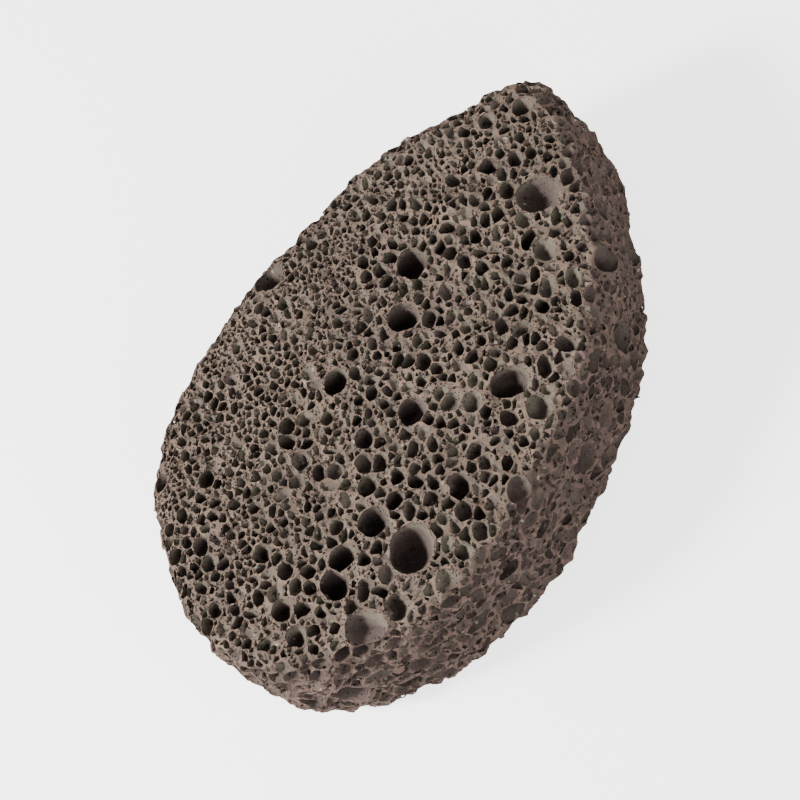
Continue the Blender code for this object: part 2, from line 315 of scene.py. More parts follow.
def slab_mesh(outline_steps, round_steps, face_rings):
    mesh = bmesh.new()
    loops = []
    for level in slab_rings(outline_steps, round_steps, face_rings):
        loops.append([mesh.verts.new(point * MM) for point in level])
    count = len(loops[0])
    for lower, upper in zip(loops, loops[1:]):
        for i in range(count):
            j = (i + 1) % count
            mesh.faces.new((lower[i], lower[j], upper[j], upper[i]))
    mesh.faces.new(list(reversed(loops[0])))
    middle = mesh.faces.new(loops[-1])
    bmesh.ops.poke(mesh, faces=[middle])
    bmesh.ops.recalc_face_normals(mesh, faces=mesh.faces)
    return mesh


class Pit:
    """A hollow cut by a turned ellipsoid; the half width and length given are its mouth's."""

    def __init__(self, mouth, normal, half_width, half_length, turn, depth):
        self.height = max(depth, half_width)
        lift = self.height - depth
        flare = 1 / math.sqrt(1 - (lift / self.height) ** 2)
        self.half_width = half_width * flare
        self.half_length = half_length * flare
        self.centre = mouth + normal * lift
        self.normal = normal
        self.turn = turn
        self.reach = max(self.half_width, self.half_length, self.height)

    def clears(self, other, gap):
        return (self.centre - other.centre).length > self.reach + other.reach + gap

    def waver(self, direction):
        return 1 + UNEVEN * noise.noise(Vector(direction) * WAVER + self.centre)

    def frame(self):
        facing = self.normal.to_track_quat("Z", "Y").to_matrix()
        return facing @ Matrix.Rotation(math.radians(self.turn), 3, "Z")


def front_pits():
    up = Vector((0, 0, 1))
    round_ones = []
    for number, (x, y, radius, depth) in enumerate(SMALL_PITS):
        round_ones.append((x, y, radius, radius, number * SMALL_TURN, depth))
    pits = []
    for x, y, half_width, half_length, turn, depth in list(FRONT_PITS) + round_ones:
        flat = Vector((x, y, THICKNESS))
        mouth = flat + up * swell(flat)
        pits.append(Pit(mouth, up, half_width, half_length, turn, depth))
    return pits


def random_spot(mesh, chance):
    """A random place on the surface, and the way its face points."""
    faces = mesh.faces
    areas = [face.calc_area() for face in faces]
    face = chance.choices(faces, weights=areas)[0]
    corners = [vert.co for vert in face.verts]
    first = chance.randrange(1, len(corners) - 1)
    a, b, c = corners[0], corners[first], corners[first + 1]
    u, v = sorted((chance.random(), chance.random()))
    return (a * u + b * (v - u) + c * (1 - v)) / MM, face.normal.copy()


def seeded_pits(mesh, taken):
    chance = random.Random(PIT_SEED)
    mesh.faces.ensure_lookup_table()
    pits = []
    for _ in range(SEEDED_TRIES):
        if len(pits) == SEEDED_PITS:
            break
        spot, normal = random_spot(mesh, chance)
        low, high = SEEDED_FRONT_RADIUS if normal.z > FACE_RIM else SEEDED_RADIUS
        radius = low + (high - low) * chance.random() ** SEEDED_SMALLNESS
        depth = radius * chance.uniform(*SEEDED_DEPTH)
        turn = chance.uniform(0, 180)
        half_length = radius * chance.uniform(*SEEDED_LENGTH)
        pit = Pit(spot, normal, radius, half_length, turn, depth)
        on_pad = normal.z < -FACE_RIM and spot.xy.length < REST_PAD + pit.reach
        if not on_pad and all(pit.clears(other, PIT_WALL) for other in taken + pits):
            pits.append(pit)
    return pits


def mesh_object(name, points, triangles):
    """A mesh object from plain arrays of points, in millimetres, and triangles."""
    corners = 3 * len(triangles)
    data = bpy.data.meshes.new(name)
    data.vertices.add(len(points))
    data.loops.add(corners)
    data.loops.foreach_set("vertex_index", triangles.astype(np.int32).ravel())
    data.polygons.add(len(triangles))
    data.polygons.foreach_set("loop_start", np.arange(0, corners, 3, dtype=np.int32))
    move_points(data, points)
    data.update(calc_edges=True)
    return add_object(name, data)


def settled(obj, name):
    """A new object with the mesh that obj's modifiers give; obj is removed."""
    graph = bpy.context.evaluated_depsgraph_get()
    data = bpy.data.meshes.new_from_object(obj.evaluated_get(graph))
    data.name = name
    bpy.data.objects.remove(obj, do_unlink=True)
    return add_object(name, data)


def read_vectors(data, name):
    values = np.empty(len(data.vertices) * 3, np.float32)
    data.vertices.foreach_get(name, values)
    return values.reshape(-1, 3).astype(float)


def mesh_points(data):
    return read_vectors(data, "co") / MM


def point_normals(data):
    return read_vectors(data, "normal")


def move_points(data, points):
    data.vertices.foreach_set("co", (points * MM).astype(np.float32).ravel())


def ground_slab():
    """The slab's worn outer surface with no cell open yet."""
    mesh = slab_mesh(*FINE)
    data = bpy.data.meshes.new("slab")
    mesh.to_mesh(data)
    mesh.free()
    slab = add_object("slab", data)
    even = slab.modifiers.new("even", "REMESH")
    even.mode = "VOXEL"
    even.voxel_size = SKIN_VOXEL * MM
    slab = settled(slab, "slab")
    wear_skin(slab.data)
    return slab


def wear_skin(data):
    """Hollow the skin in patches of several sizes, most round the rim."""
    points = mesh_points(data)
    normals = point_normals(data)
    rim = rim_share(normals)
    worn = np.zeros(len(points))
    for length, on_face, on_rim in SKIN_WEAR:
        rough = np.array([noise.noise(Vector(point) / length) for point in points])
        deep = on_face * (1 - rim) + on_rim * rim
        worn += deep * (LEVEL_WEAR - SKIN_SWELL + rough)
    points -= normals * worn[:, None]
    points[:, 2] = np.maximum(points[:, 2], 0)
    move_points(data, points)
    data.update()


def ease(value, start, end):
    """0 before start, 1 after end, and smooth between them."""
    share = np.clip((value - start) / (end - start), 0, 1)
    return share * share * (3 - 2 * share)


def rim_share(facing):
    """0 on the ground face and on the back, 1 round the rim."""
    return 1 - ease(np.abs(facing[:, 2]), *RIM_FACING)


class Foam:
    """Gas cells, each a middle and a turned, slightly egg-shaped ellipsoid.

    The first cells are the solid's own pits. For each cell, halves are its half width, half
    length and half height, swelling is how far it pushes against its neighbours, lean and lump
    shape it, and facing is the way out of the stone.
    """

    KEPT = ("centres", "turns", "halves", "swelling", "leans", "lumps", "facings")

    def __init__(self, rng, pits):
        self.rng = rng
        self.pits = pits
        for name in self.KEPT:
            setattr(self, name, [])

    def add(self, centre, turn, halves, swelling, facing):
        lean = self.rng.normal(size=3)
        lump = self.rng.normal(size=3)
        self.centres.append(centre)
        self.turns.append(turn)
        self.halves.append(halves)
        self.swelling.append(swelling)
        self.leans.append(EGG * lean / np.linalg.norm(lean) + FLOW)
        self.lumps.append(LUMP_WAVES * lump / np.linalg.norm(lump))
        self.facings.append(facing)

    def freeze(self):
        """Turn the lists into arrays once every cell is in."""
        for name in self.KEPT:
            setattr(self, name, np.array(getattr(self, name)))
        self.radii = np.prod(self.halves, axis=1) ** (1 / 3)


def reach_along(halves, turn, directions):
    """How far an ellipsoid reaches from its middle in each direction."""
    local = np.einsum("...i,...ij->...j", directions, turn)
    return 1 / np.sqrt(np.maximum(((local / halves) ** 2).sum(axis=-1), TINY**2))


def largest_allowed(spots, facing, rng):
    """The largest radius at each spot: fine cells to the left, coarse ones to the right."""
    patches = np.array([noise.noise(Vector(spot) / PATCH_LENGTH + PATCH_START) for spot in spots])
    scatter = rng.normal(0, CELL_SCATTER, len(spots))

    def coarseness(middle, to_right, to_tip, patchy):
        drift = middle + to_right * spots[:, 0] + patchy * patches + to_tip * spots[:, 1]
        return drift + scatter

    flat = np.where(facing[:, 2] > 0, coarseness(*FRONT_COARSE), coarseness(*BACK_COARSE))
    around = rim_share(facing)
    coarse = flat * (1 - around) + coarseness(*RIM_COARSE) * around
    return LEAST_CELL + CELL_GROWTH * np.clip(coarse, 0, COARSEST)


def lifts(facing, shallow_share, rng):
    """How far a cell's middle lies above the skin and how tall the cell is, in its own radii."""
    count = len(facing)
    deep = rng.random(count) > shallow_share + RIM_SHALLOW * rim_share(facing)
    lift, tall = (
        np.where(deep, rng.uniform(*low, count), rng.uniform(*high, count))
        for low, high in zip(DEEP_CELLS, SHALLOW_CELLS)
    )
    return lift, tall


def surface_samples(data, count, rng):
    """Random places spread evenly over a mesh, and the way the surface faces at each."""
    data.calc_loop_triangles()
    corners = np.empty(len(data.loop_triangles) * 3, np.int32)
    data.loop_triangles.foreach_get("vertices", corners)
    corners = corners.reshape(-1, 3)
    points = mesh_points(data)
    a, b, c = (points[corners[:, k]] for k in range(3))
    areas = np.linalg.norm(np.cross(b - a, c - a), axis=1)
    chosen = rng.choice(len(areas), count, p=areas / areas.sum())
    u = rng.random((count, 1))
    v = rng.random((count, 1))
    flip = (u + v) > 1
    u, v = np.where(flip, 1 - u, u), np.where(flip, 1 - v, v)
    spots = a[chosen] * (1 - u - v) + b[chosen] * u + c[chosen] * v
    facing = point_normals(data)[corners[chosen]].mean(axis=1)
    return spots, facing / np.linalg.norm(facing, axis=1, keepdims=True)


def slanted(facing, slope):
    """The facing direction leaned over the way the lava flowed."""
    flow = DRAWN - facing * (DRAWN @ facing)
    leaned = facing + slope * flow
    return leaned / np.linalg.norm(leaned)


def lying_along(normal, angle):
    """A turn whose third axis is the normal and whose second is near the slab's length."""
    along = np.array((0.0, 1.0, 0.0)) - normal * normal[1]
    along /= max(np.linalg.norm(along), TINY)
    across = np.cross(along, normal)
    c, s = math.cos(angle), math.sin(angle)
    return np.array((across * c + along * s, along * c - across * s, normal)).T


def fill_tier(foam, data, tier):
    """Press cells of one size range into the room that larger cells leave."""
    high, low, count, swelling, shallow_share = tier
    rng = foam.rng
    spots, facing = surface_samples(data, count, rng)
    radii = low + (high - low) * rng.random(count)
    lift, tall = lifts(facing, shallow_share, rng)
    places = spots + facing * (radii * lift)[:, None]
    fits = radii <= largest_allowed(spots, facing, rng)
    tree = place_tree(places)
    room = np.full(count, np.inf)

    def crowd(centre, turn, halves):
        """Take the room that a cell fills from the places round it."""
        near = [hit[1] for hit in tree.find_range(centre, halves.max() + NEAREST * high)]
        if near:
            apart = places[near] - centre
            distance = np.linalg.norm(apart, axis=1)
            reach = reach_along(halves, turn, apart / np.maximum(distance, TINY)[:, None])
            room[near] = np.minimum(room[near], distance - reach)

    for centre, turn, halves in zip(foam.centres, foam.turns, foam.halves):
        crowd(centre, turn, halves)
    for i in range(count):
        if fits[i] and room[i] >= NEAREST * low:
            radius = min(radii[i], room[i] / NEAREST)
            stretch = math.sqrt(rng.uniform(*STRETCH))
            halves = np.array((1 / stretch, stretch, tall[i]))
            halves *= radius / np.prod(halves) ** (1 / 3)
            turn = lying_along(slanted(facing[i], SLANT), rng.normal(*CELL_TURN))
            foam.add(places[i], turn, halves, swelling, facing[i])
            crowd(places[i], turn, halves)


def fill_foam(slab, pits):
    """The solid's pits, leaned with the flow, and every smaller cell packed between them."""
    foam = Foam(np.random.default_rng(FOAM_SEED), pits)
    for pit in pits:
        halves = np.array((pit.half_width, pit.half_length, pit.height))
        facing = np.array(pit.normal)
        lean = pit.normal.rotation_difference(Vector(slanted(facing, PIT_SLANT)))
        turn = np.array(lean.to_matrix() @ pit.frame())
        foam.add(np.array(pit.centre), turn, halves, PIT_SWELLING, facing)
    for tier in TIERS:
        fill_tier(foam, slab.data, tier)
    foam.freeze()
    return foam


def unit_sphere(fineness):
    mesh = bmesh.new()
    bmesh.ops.create_icosphere(mesh, subdivisions=fineness, radius=1.0)
    points = np.array([vert.co[:] for vert in mesh.verts])
    triangles = np.array([[vert.index for vert in face.verts] for face in mesh.faces])
    mesh.free()
    return points, triangles


def spheres_of(fineness):
    return [(smallest, unit_sphere(step)) for smallest, step in fineness]


def sphere_for(radius, spheres):
    """The points and triangles of the sphere that is fine enough for a radius."""
    return next(sphere for smallest, sphere in spheres if radius > smallest)


def joined_object(name, forms):
    """One mesh object of many closed forms, each given by its points and triangles."""
    all_points, all_triangles, start = [], [], 0
    for points, triangles in forms:
        all_points.append(points)
        all_triangles.append(triangles + start)
        start += len(points)
    return mesh_object(name, np.concatenate(all_points), np.concatenate(all_triangles))


class Neighbours:
    """Finds the cells near a cell, size class by size class."""

    def __init__(self, foam):
        self.foam = foam
        self.classes = []
        for low, high in SIZE_CLASSES:
            chosen = np.flatnonzero((foam.radii > low) & (foam.radii <= high))
            tree = place_tree(foam.centres[chosen], chosen)
            self.classes.append((tree, foam.halves[chosen].max() if len(chosen) else 0))

    def walls(self, i, farthest):
        """The direction and distance of each flat that a neighbour presses on cell i.

        A flat stands where the two cells would meet, and leans with the flow as they do.
        """
        foam = self.foam
        near = []
        for tree, widest in self.classes:
            hits = tree.find_range(foam.centres[i], NEIGHBOUR_REACH * farthest + widest)
            near += [hit[1] for hit in hits if hit[1] != i]
        apart = foam.centres[near] - foam.centres[i]
        distance = np.linalg.norm(apart, axis=1)
        toward = apart / distance[:, None]
        mine = reach_along(foam.halves[i], foam.turns[i], toward)
        theirs = reach_along(foam.halves[near], foam.turns[near], toward)
        halfway = (distance**2 + mine**2 - theirs**2) / (2 * distance)
        facing = foam.facings[near] + foam.facings[i]
        facing /= np.maximum(np.linalg.norm(facing, axis=1, keepdims=True), TINY)
        flow = toward @ DRAWN - (toward * facing).sum(axis=1) * (facing @ DRAWN)
        across = toward - SLANT * flow[:, None] * facing
        across /= np.linalg.norm(across, axis=1, keepdims=True)
        wall = halfway * (toward * across).sum(axis=1) - WALL / 2
        close = wall < farthest
        return across[close], np.maximum(wall[close], NEAREST_WALL)


def cell_points(foam, neighbours, i, sphere, turn):
    """A cell's outline: its own form, flattened where neighbours press on it."""
    directions = sphere @ turn
    own = reach_along(foam.halves[i], foam.turns[i], directions) * foam.swelling[i]
    if i < len(foam.pits):
        local = (directions @ foam.turns[i]) / foam.halves[i]
        local /= np.linalg.norm(local, axis=1, keepdims=True)
        own *= np.array([foam.pits[i].waver(direction) for direction in local])
    else:
        own *= 1 + LUMP * np.sin(directions @ foam.lumps[i] + i)
    own *= 1 + directions @ foam.leans[i]
    toward, walls = neighbours.walls(i, own.max())
    pressed = np.clip(directions @ toward.T, 0, None) / walls
    hardest = pressed.max(axis=1, initial=0)
    squeeze = own**-ROUNDING + (pressed**ROUNDING).sum(axis=1)
    soft = squeeze ** (-1 / ROUNDING)
    flat = 1 / np.maximum(hardest, 1 / own)
    reach = soft / np.quantile(soft / flat, FILLED)
    reach = 1 / np.maximum(1 / reach, hardest)
    return foam.centres[i] + directions * reach[:, None]


def random_turn(rng):
    """Any turn at all, so that no two spheres show their triangles the same way."""
    axes, _ = np.linalg.qr(rng.normal(size=(3, 3)))
    return axes * np.sign(np.linalg.det(axes))


def cell_cutter(foam):
    rng = np.random.default_rng(FOAM_SEED + 1)
    spheres = spheres_of(FINENESS)
    neighbours = Neighbours(foam)
    forms = []
    for i, radius in enumerate(foam.radii):
        sphere, triangles = sphere_for(radius, spheres)
        forms.append((cell_points(foam, neighbours, i, sphere, random_turn(rng)), triangles))
    return joined_object("cells", forms)


def skin_tree(data):
    """The ground skin, kept to measure from once cells are cut out of it."""
    mesh = bmesh.new()
    mesh.from_mesh(data)
    tree = BVHTree.FromBMesh(mesh)
    mesh.free()
    return tree


def below_skin(tree, points):
    """How far below the ground skin each point lies, and the way out there."""
    depth = np.empty(len(points))
    facing = np.empty((len(points), 3))
    for i, point in enumerate(points * MM):
        _, normal, _, distance = tree.find_nearest(point)
        depth[i] = distance / MM
        facing[i] = normal
    return depth, facing


def tried_bites(stone, tree, rng):
    """The middles and radii of all the bites that are tried, row by row."""
    centres, radii = [], []
    for high, low, count, deepest, lift in BITES:
        spots, facing = surface_samples(stone.data, count, rng)
        depth, out = below_skin(tree, spots)
        size = low + (high - low) * rng.random(count) ** BITE_SMALLNESS
        way = out if deepest < SQUARE_BITES else facing
        places = spots + way * (size * rng.uniform(*lift, count))[:, None]
        keep = depth < deepest * rng.random(count) ** BITE_DEPTH
        centres.append(places[keep])
        radii.append(size[keep])
    return np.concatenate(centres), np.concatenate(radii)


def keep_apart(centres, radii):
    """The bites that touch no earlier one."""
    places = place_tree(centres)
    free = np.ones(len(centres), bool)
    widest = radii.max()
    chosen = []
    for i in range(len(centres)):
        if not free[i]:
            continue
        chosen.append(i)
        for _, j, distance in places.find_range(centres[i], BITE_GAP * (radii[i] + widest)):
            if distance < BITE_GAP * (radii[i] + radii[j]):
                free[j] = False
    return chosen


def bite_cutter(stone, tree):
    """Small cells, none touching another, that chip ridges and pierce walls."""
    rng = np.random.default_rng(FOAM_SEED + 2)
    centres, radii = tried_bites(stone, tree, rng)
    spheres = spheres_of(BITE_FINENESS)
    forms = []
    for i in keep_apart(centres, radii):
        sphere, triangles = sphere_for(radii[i], spheres)
        stretched = sphere * rng.uniform(*BITE_STRETCH, 3)
        forms.append((centres[i] + radii[i] * stretched @ random_turn(rng), triangles))
    return joined_object("bites", forms)


def cut_away(stone, cutter):
    """The stone less the cutter, which is used up."""
    cut = stone.modifiers.new("cut", "BOOLEAN")
    cut.operation = "DIFFERENCE"
    cut.solver = "MANIFOLD"
    cut.object = cutter
    stone = settled(stone, "stone")
    bpy.data.objects.remove(cutter, do_unlink=True)
    return stone


def largest_piece(obj):
    """Drop the crumbs that the cells cut loose.

    Every point takes the lowest label among its neighbours until each piece has one label.
    """
    data = obj.data
    edges = np.empty(len(data.edges) * 2, np.int32)
    data.edges.foreach_get("vertices", edges)
    edges = edges.reshape(-1, 2)
    label = np.arange(len(data.vertices))
    while True:
        low = np.minimum(label[edges[:, 0]], label[edges[:, 1]])
        new = label.copy()
        np.minimum.at(new, edges[:, 0], low)
        np.minimum.at(new, edges[:, 1], low)
        new = new[new]
        if (new == label).all():
            break
        label = new
    loose = np.flatnonzero(label != np.bincount(label).argmax())
    if len(loose):
        mesh = bmesh.new()
        mesh.from_mesh(data)
        mesh.verts.ensure_lookup_table()
        bmesh.ops.delete(mesh, geom=[mesh.verts[i] for i in loose], context="VERTS")
        mesh.to_mesh(data)
        mesh.free()


def is_fin(face):
    """Whether a face hangs off the surface by one side, as where a thin wall closed up."""
    shared = [len(edge.link_faces) for edge in face.edges]
    return 1 in shared and (max(shared) > 2 or shared.count(1) > 1)


def mend(data):
    """Drop the doubled faces, fins and loose ends that thinning leaves, and close its gaps."""
    data.validate()
    mesh = bmesh.new()
    mesh.from_mesh(data)
    for _ in range(FIN_ROUNDS):
        fins = [face for face in mesh.faces if is_fin(face)]
        bmesh.ops.delete(mesh, geom=fins, context="FACES")
    gaps = [edge for edge in mesh.edges if edge.is_boundary]
    closed = bmesh.ops.holes_fill(mesh, edges=gaps, sides=WIDEST_GAP)["faces"]
    bmesh.ops.triangulate(mesh, faces=closed)
    wires = [edge for edge in mesh.edges if edge.is_wire]
    bmesh.ops.delete(mesh, geom=wires, context="EDGES")
    loose = [vert for vert in mesh.verts if not vert.link_faces]
    bmesh.ops.delete(mesh, geom=loose, context="VERTS")
    mesh.to_mesh(data)
    mesh.free()
    data.validate()


def rest_on_floor(data):
    """Bring up the few points that thinning left a hair under the floor."""
    points = mesh_points(data)
    points[:, 2] = np.maximum(points[:, 2], 0)
    move_points(data, points)
    data.update()


def solid_pits():
    """Every pit of the solid, on the same coarse slab."""
    coarse = slab_mesh(*COARSE)
    placed = front_pits()
    pits = placed + seeded_pits(coarse, placed)
    coarse.free()
    return pits


def thinned(stone):
    triangles = sum(len(face.vertices) - 2 for face in stone.data.polygons)
    thin = stone.modifiers.new("thin", "DECIMATE")
    thin.ratio = min(1.0, TRIANGLES / triangles)
    thin.use_collapse_triangulate = True
    return settled(stone, "stone")


def build_stone():
    """The finished stone, with the ground skin and the foam that its material is marked from."""
    slab = ground_slab()
    foam = fill_foam(slab, solid_pits())
    skin = skin_tree(slab.data)
    stone = cut_away(slab, cell_cutter(foam))
    stone = cut_away(stone, bite_cutter(stone, skin))
    largest_piece(stone)
    stone = thinned(stone)
    mend(stone.data)
    rest_on_floor(stone.data)
    stone.data.shade_smooth()
    stone.data.set_sharp_from_angle(angle=SHARP_ANGLE)
    return stone, skin, foam


def mark_surface(stone, tree, foam):
    """Store what the material needs at each point.

    depth is millimetres below the ground skin, rim is 0 on the faces and 1 round the rim,
    and cell is a number from 0 to 1 that each gas cell has of its own.
    """
    data = stone.data
    points = mesh_points(data)
    depth, facing = below_skin(tree, points)
    cells = place_tree(foam.centres)
    tone = np.empty(len(points))
    for i, point in enumerate(points):
        hits = cells.find_n(point, NEAR_CELLS)
        nearest = min(hits, key=lambda hit: hit[2] / foam.radii[hit[1]])[1]
        tone[i] = (nearest * TONE_STEP) % 1.0
    for name, values in (("depth", depth), ("rim", rim_share(facing)), ("cell", tone)):
        layer = data.attributes.new(name, "FLOAT", "POINT")
        layer.data.foreach_set("value", np.asarray(values, np.float32))


# Colours are linear red, green and blue.
WORN_RIDGE = (0.220, 0.162, 0.124)
DULL_RIDGE = (0.134, 0.102, 0.086)
RIDGE_SIDE = (0.150, 0.121, 0.097)
CELL_GREY = (0.156, 0.140, 0.111)
CELL_BROWN = (0.122, 0.099, 0.086)
# painted shade: cells are darkened towards this the deeper they go
DEEP_CELL_SHADE = (0.086, 0.065, 0.059)
# painted shade inside fine pores too small to model
PORE_SHADE = (0.036, 0.022, 0.018)
PINK = (1.07, 0.955, 1.005)
OLIVE = (0.945, 1.025, 0.965)
# the rim's slight purple tint, darkened further with painted shade
RIM_TINT_AND_SHADE = (0.735, 0.685, 0.725)
SPECK = (0.46, 0.44, 0.39)

# Where one look gives way to the next: from, to, and what the two ends are mapped to.
TONE_BAND = (0.25, 0.75)  # a cell's own tone, from grey to brown
RIDGE_BAND = (0.02, 0.17)  # depth in millimetres, from ridge to side
SIDE_BAND = (0.2, 0.5)  # depth, from side to cell
DEEP_SHADE_BAND = (0.6, 2.6)  # depth, over which painted shade darkens the cells
PORES_BY_DEPTH = (0.9, 0.15, 0.16, 1.0)
PORES_BY_PLACE = (-0.022, 0.004, 1.9, 1.0)  # X in metres: they crowd to the left
PORES_BY_RIM = (0.0, 1.0, 1.0, 0.5)
PORE_EDGE = (1.15, 0.75)  # distance from a pore's middle, in radii

# Grains: length in millimetres, detail and roughness, and the band that it is spread over.
DULLNESS = ((1.1, 2.0), (0.36, 0.62, 0.0, 0.9))
HUES = ((0.5, 3.0, 0.7), (0.35, 0.65))
PATCHES = ((11.0, 2.0), (0.3, 0.7, 0.88, 1.12))
MOTTLE_SHADE = (0.82, 1.18)
MOTTLE = ((0.55, 4.0, 0.7), (0.25, 0.75, *MOTTLE_SHADE))
CLUSTERS = ((3.2, 2.0), (0.38, 0.62, 0.2, 0.8))
ROUGH_GRAIN = (0.45, 4.0, 0.65)

# Lengths are in millimetres. A pore's width is a share of the spacing of the pores.
WIDE_PORES = (0.62, 0.42)
SMALL_PORES = (0.40, 0.46)
LEAST_PORE = 0.4  # smallest pore, as a share of the width
PORE_SPREAD = 0.6  # how much more the largest has
# how strongly a fine pore's painted shade darkens it
PORE_SHADE_STRENGTH = 0.92
SPECK_SPACING = 0.42
SPECK_RARITY = 0.9965  # share of the places that have none
SPECK_STRENGTH = 0.5
GLOSS = 0.22  # specular level
ROUGHNESS = (0.98, 0.84)  # of the dark and of the light mottles
ROUGH_HEIGHT = 0.9
SMALL_PORE_HEIGHT = 0.6
BUMP_DEPTH = 0.16


def add_node(tree, kind, **settings):
    """A node with its settings; a key that names a socket sets that socket's value."""
    node = tree.nodes.new("ShaderNode" + kind)
    for name, value in settings.items():
        if name in node.bl_rna.properties:
            setattr(node, name, value)
        else:
            node.inputs[name].default_value = value
    return node


def join(tree, source, node, socket):
    tree.links.new(source, node.inputs[socket])


def attribute(tree, name):
    return add_node(tree, "Attribute", attribute_name=name).outputs["Fac"]


def set_input(tree, node, socket, value):
    """Give a socket a number, a colour or a link."""
    if isinstance(value, tuple):
        node.inputs[socket].default_value = (*value, 1)
    elif isinstance(value, (int, float)):
        node.inputs[socket].default_value = value
    else:
        join(tree, value, node, socket)


def math_node(tree, operation, *values):
    node = add_node(tree, "Math", operation=operation)
    for socket, value in enumerate(values):
        set_input(tree, node, socket, value)
    return node.outputs[0]


def product(tree, *values):
    result = values[0]
    for value in values[1:]:
        result = math_node(tree, "MULTIPLY", result, value)
    return result


def spread(tree, value, start, end, low=0.0, high=1.0):
    """value mapped smoothly from start..end to low..high."""
    node = add_node(tree, "MapRange", interpolation_type="SMOOTHSTEP")
    for socket, number in zip(("From Min", "From Max", "To Min", "To Max"), (start, end, low, high)):
        node.inputs[socket].default_value = number
    join(tree, value, node, "Value")
    return node.outputs["Result"]


def blend_colours(tree, share, first, second, blend="MIX"):
    """The two colours blended; 0, 6, 7 and 2 are a Mix node's sockets for colours."""
    node = add_node(tree, "Mix", data_type="RGBA", blend_type=blend)
    for socket, value in ((0, share), (6, first), (7, second)):
        set_input(tree, node, socket, value)
    return node.outputs[2]


def group_sockets(group, inputs, outputs):
    for name, kind, value in inputs:
        socket = group.interface.new_socket(name, in_out="INPUT", socket_type="NodeSocket" + kind)
        if value is not None:
            socket.default_value = value
    for name, kind in outputs:
        group.interface.new_socket(name, in_out="OUTPUT", socket_type="NodeSocket" + kind)
    return group.nodes.new("NodeGroupInput"), group.nodes.new("NodeGroupOutput")


def fine_pore_group():
    """Round pores too small to model: a mask that is 1 in a pore, and their height.

    Spacing is in millimetres, Width a share of it, and Crowding the share that are open.
    """
    group = bpy.data.node_groups.new("fine pores", "ShaderNodeTree")
    inputs = (
        ("Place", "Vector", None),
        ("Spacing", "Float", 0.5),
        ("Width", "Float", 0.3),
        ("Crowding", "Float", 0.5),
    )
    enter, leave = group_sockets(group, inputs, (("Mask", "Float"), ("Height", "Float")))
    per_metre = math_node(group, "DIVIDE", 1 / MM, enter.outputs["Spacing"])
    cells = add_node(group, "TexVoronoi", voronoi_dimensions="3D", feature="F1")
    join(group, enter.outputs["Place"], cells, "Vector")
    join(group, per_metre, cells, "Scale")
    own = add_node(group, "SeparateColor")
    join(group, cells.outputs["Color"], own, "Color")
    chosen = math_node(group, "LESS_THAN", own.outputs["Red"], enter.outputs["Crowding"])
    size = math_node(group, "MULTIPLY_ADD", own.outputs["Green"], PORE_SPREAD, LEAST_PORE)
    radius = product(group, size, enter.outputs["Width"])
    share = math_node(group, "DIVIDE", cells.outputs["Distance"], radius)
    mask = product(group, spread(group, share, *PORE_EDGE), chosen)
    join(group, mask, leave, "Mask")
    join(group, product(group, mask, -1.0), leave, "Height")
    return group


def fine_pores(tree, group, place, spacing, width, crowding):
    node = tree.nodes.new("ShaderNodeGroup")
    node.node_tree = group
    sockets = {"Place": place, "Spacing": spacing, "Width": width, "Crowding": crowding}
    for name, value in sockets.items():
        set_input(tree, node, name, value)
    return node.outputs["Mask"], node.outputs["Height"]


def grain(tree, place, length, detail, roughness=0.6):
    node = add_node(tree, "TexNoise", Scale=1 / (length * MM), Detail=detail, Roughness=roughness)
    join(tree, place, node, "Vector")
    return node.outputs["Fac"]


def spread_grain(tree, place, look):
    texture, band = look
    return spread(tree, grain(tree, place, *texture), *band)


def bare_colour(tree, place, depth, rim, cell):
    """Pale worn ridges, duller sides under them, and cells darkened with depth by painted shade; the
    rim is tinted purple and darkened with painted shade.
    """
    inner = blend_colours(tree, spread(tree, cell, *TONE_BAND), CELL_GREY, CELL_BROWN)
    # painted shade deep in the cells
    inner = blend_colours(tree, spread(tree, depth, *DEEP_SHADE_BAND), inner, DEEP_CELL_SHADE)
    side = blend_colours(tree, spread(tree, depth, *SIDE_BAND), RIDGE_SIDE, inner)
    worn = blend_colours(tree, spread_grain(tree, place, DULLNESS), WORN_RIDGE, DULL_RIDGE)
    colour = blend_colours(tree, spread(tree, depth, *RIDGE_BAND), worn, side)
    hue = blend_colours(tree, spread_grain(tree, place, HUES), PINK, OLIVE)
    colour = blend_colours(tree, 1.0, colour, hue, "MULTIPLY")
    # the rim is tinted purple and darkened with painted shade
    return blend_colours(tree, rim, colour, RIM_TINT_AND_SHADE, "MULTIPLY")


def shaded(tree, colour, shade):
    grey = add_node(tree, "CombineColor")
    for channel in ("Red", "Green", "Blue"):
        join(tree, shade, grey, channel)
    return blend_colours(tree, 1.0, colour, grey.outputs["Color"], "MULTIPLY")


def pore_crowding(tree, place, depth, rim):
    """How many fine pores are open: most near the top and to the left, in clusters."""
    near_top = spread(tree, depth, *PORES_BY_DEPTH)
    clusters = spread_grain(tree, place, CLUSTERS)
    along = add_node(tree, "SeparateXYZ")
    join(tree, place, along, "Vector")
    finer = spread(tree, along.outputs["X"], *PORES_BY_PLACE)
    return product(tree, near_top, clusters, finer, spread(tree, rim, *PORES_BY_RIM))


def speckled(tree, place, colour):
    """The colour with a pale mineral speck here and there."""
    specks = add_node(tree, "TexVoronoi", Scale=1 / (SPECK_SPACING * MM))
    join(tree, place, specks, "Vector")
    chance = add_node(tree, "SeparateColor")
    join(tree, specks.outputs["Color"], chance, "Color")
    speck = math_node(tree, "GREATER_THAN", chance.outputs["Blue"], SPECK_RARITY)
    return blend_colours(tree, product(tree, speck, SPECK_STRENGTH), colour, SPECK)


